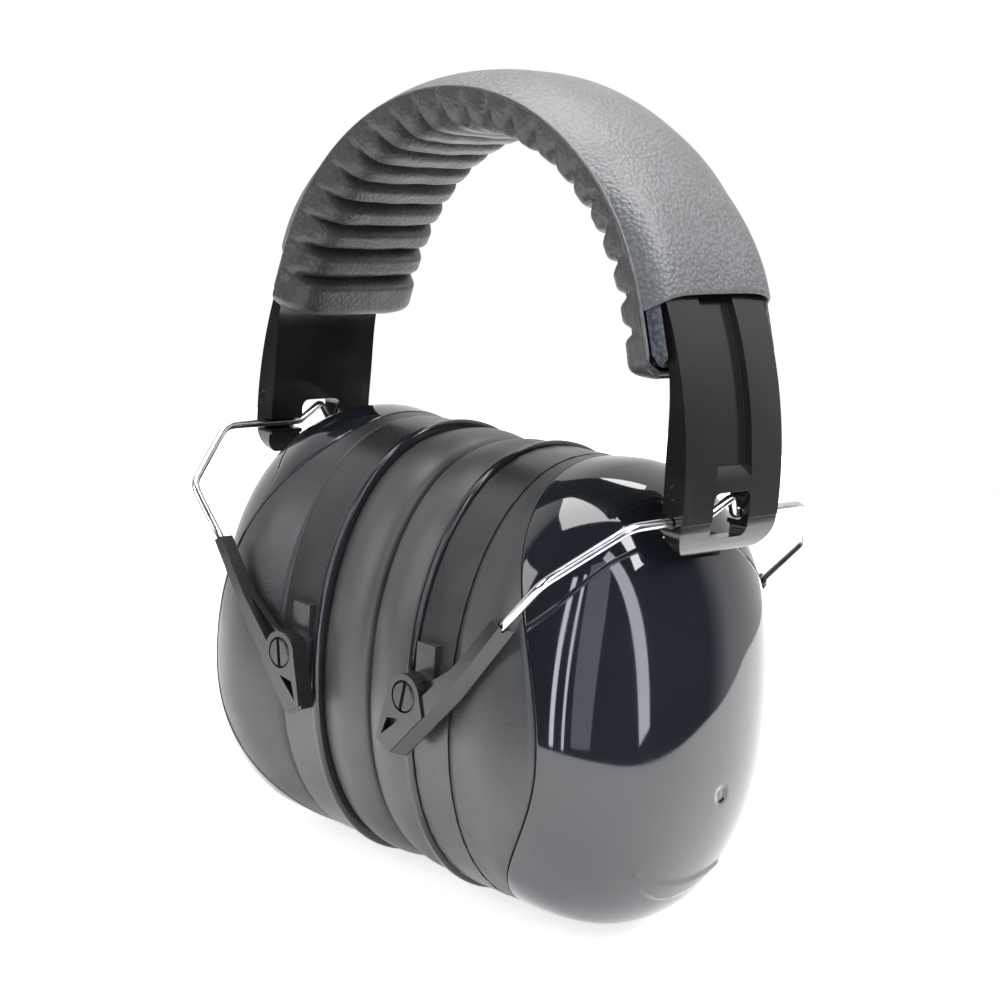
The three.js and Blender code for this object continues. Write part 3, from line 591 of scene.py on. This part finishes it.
for side, sign in sides.items():
    finishCup(makeDome(side), side, "dome_gloss", "cup_dome")
    shell = fineShell(side + "_cup_body", side + "_cup_body_grained", bodyGrain, crease=30)
    finishCup(shell, side, "body_grain", "cup_body")
    ring = softEdged(side + "_cup_ring", side + "_cup_ring_satin", ringSatin, edgeRadius["ring"])
    finishCup(ring, side, "ring_satin", "cup_ring")
    plate = fineShell(side + "_cushion_plate", side + "_cushion_plate_glossy", plateGloss, crease=24)
    finishCup(plate, side, "plate_gloss", "cushion_plate")
    foam = fineShell(side + "_cup_liner", side + "_cup_liner_foam", linerFoam, crease=70)
    swell(foam, liner["swell"] * mm, liner["swellSize"] * mm)
    finishCup(foam, side, "foam", "cup_liner")
    soft = fineShell(side + "_ear_cushion", side + "_ear_cushion_vinyl", cushionVinyl, crease=70)
    swell(soft, cushion["swell"] * mm, cushion["swellSize"] * mm)
    finishCup(soft, side, "cushion_vinyl", "ear_cushion", "cushion_foam")
    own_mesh(soft)
print("cups made")

for side in sides:
    arm = softEdged(side + "_slider_arm", side + "_slider_arm_moulded", armPlastic, edgeRadius["arm"])
    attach(arm, side + "_slider")
    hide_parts(side + "_slider_arm")
    for end in ("front", "rear"):
        name = side + "_" + end + "_yoke_arm"
        yoke = softEdged(name, name + "_moulded", yokePlastic, edgeRadius["yoke"])
        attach(yoke, side + "_fork")
        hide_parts(name)
        name = side + "_" + end + "_pivot_pin"
        pin = softEdged(name, name + "_slotted", pinPlastic, edgeRadius["pin"], 1)
        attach(pin, side + "_cup")
        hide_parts(name)
    wire = fineShell(side + "_fork_wire", side + "_fork_wire_bent", wireSteel, crease=75, levels=1)
    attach(wire, side + "_fork")
    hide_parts(side + "_fork_wire")
print("arms, yokes, pins and wires made")

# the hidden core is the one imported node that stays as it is
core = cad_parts["band_core"]
core.data.materials.clear()
core.data.materials.append(corePlastic)
print("core finished")

# lengths in metres, and the strength of the surround on the camera's side and on the far side
studio = {"frontEdge": 0.235, "cornerRadius": 0.2, "depth": 0.62, "floorColour": "#e8e8e7", "glow": 0.7,
          "worldFront": 0.05, "worldBack": 1.0}


# a pale table top with rounded corners, its front edges close to the object
def addFloor():
    bpy.ops.object.select_all(action="DESELECT")
    bpy.ops.mesh.primitive_plane_add(size=studio["depth"] + studio["frontEdge"], location=(0, 0, -0.0004))
    floor = bpy.context.object
    floor.name = "studio_floor"
    shift = (studio["depth"] + studio["frontEdge"]) / 2 - studio["frontEdge"]
    bpy.ops.object.mode_set(mode="EDIT")
    bpy.ops.transform.translate(value=(-shift, shift, 0))
    bpy.ops.mesh.bevel(offset=studio["cornerRadius"], segments=16, affect="VERTICES")
    bpy.ops.object.mode_set(mode="OBJECT")
    material, tree, shader, place = newMaterial("floorMattPaper", IOR=1.45, Roughness=0.85)
    blotchColour(tree, place, shader, studio["floorColour"], "#ededec", 0.5)
    shader.inputs["Emission Color"].default_value = linear("#ffffff")
    shader.inputs["Emission Strength"].default_value = studio["glow"]  # an opal table top lit from below
    floor.data.materials.append(material)


def addSoftbox(name, size, place, target, power, colour="#ffffff", lean=0):
    data = bpy.data.lights.new(name, "AREA")
    data.shape = "RECTANGLE"
    data.size, data.size_y = size
    data.energy = power
    data.color = linear(colour)[:3]
    lamp = bpy.data.objects.new(name, data)
    bpy.context.scene.collection.objects.link(lamp)
    lamp.location = place
    aim = Vector(target) - Vector(place)
    turned = aim.to_track_quat("-Z", "Y") @ Quaternion((0, 0, 1), math.radians(lean))
    lamp.rotation_euler = turned.to_euler()


# a white surround behind and a dim one in front, as in a light tent with an open side
def addWorld():
    world = bpy.data.worlds.new("studioSurround")
    bpy.context.scene.world = world
    world.use_nodes = True
    tree = world.node_tree
    background = tree.nodes["Background"]
    way = addNode(tree, "ShaderNodeTexCoord").outputs["Generated"]
    facing = addNode(tree, "ShaderNodeVectorMath", {"operation": "DOT_PRODUCT"}, {"Vector": way})
    facing.inputs[1].default_value = (-0.69, 0.72, 0.12)
    level = addNode(tree, "ShaderNodeMapRange", {"interpolation_type": "SMOOTHSTEP"},
                    {"Value": facing.outputs["Value"]}, From_Min=0.02, From_Max=0.3,
                    To_Min=studio["worldFront"], To_Max=studio["worldBack"])
    seen = addNode(tree, "ShaderNodeLightPath")
    pick = addNode(tree, "ShaderNodeMath", {"operation": "MAXIMUM"},
                   {0: seen.outputs["Is Camera Ray"], 1: level.outputs["Result"]})
    tree.links.new(pick.outputs["Value"], background.inputs["Strength"])
    background.inputs["Color"].default_value = linear("#ffffff")


addFloor()
addWorld()
addSoftbox("topSoftbox", (0.9, 0.9), (-0.1, 0.1, 1.15), (0, 0, 0.05), 20)
addSoftbox("rightSoftbox", (0.7, 0.7), (0.8, 0.25, 1.05), (0, 0, 0.15), 20)
addSoftbox("innerStrip", (0.12, 1.5), (1.0, -0.06, 0.42), (0, 0, 0.08), 4.2, "#dfe6f2", lean=26)
addSoftbox("frontPanel", (0.3, 1.2), (0.86, -0.5, 0.35), (0, 0, 0.08), 2.0, "#d3deef")
addSoftbox("cornerStrip", (0.07, 1.1), (0.6, -0.82, 0.3), (0, 0, 0.08), 2.6, "#dfe6f2")
addSoftbox("edgeStrip", (0.04, 1.1), (0.72, -0.7, 0.3), (0, 0, 0.08), 1.4, "#dfe6f2")
addSoftbox("leftSoftbox", (0.5, 0.8), (-0.35, -1.0, 0.5), (0, 0, 0.1), 6)
bpy.context.scene.view_settings.view_transform = "Standard"
print("studio lit")
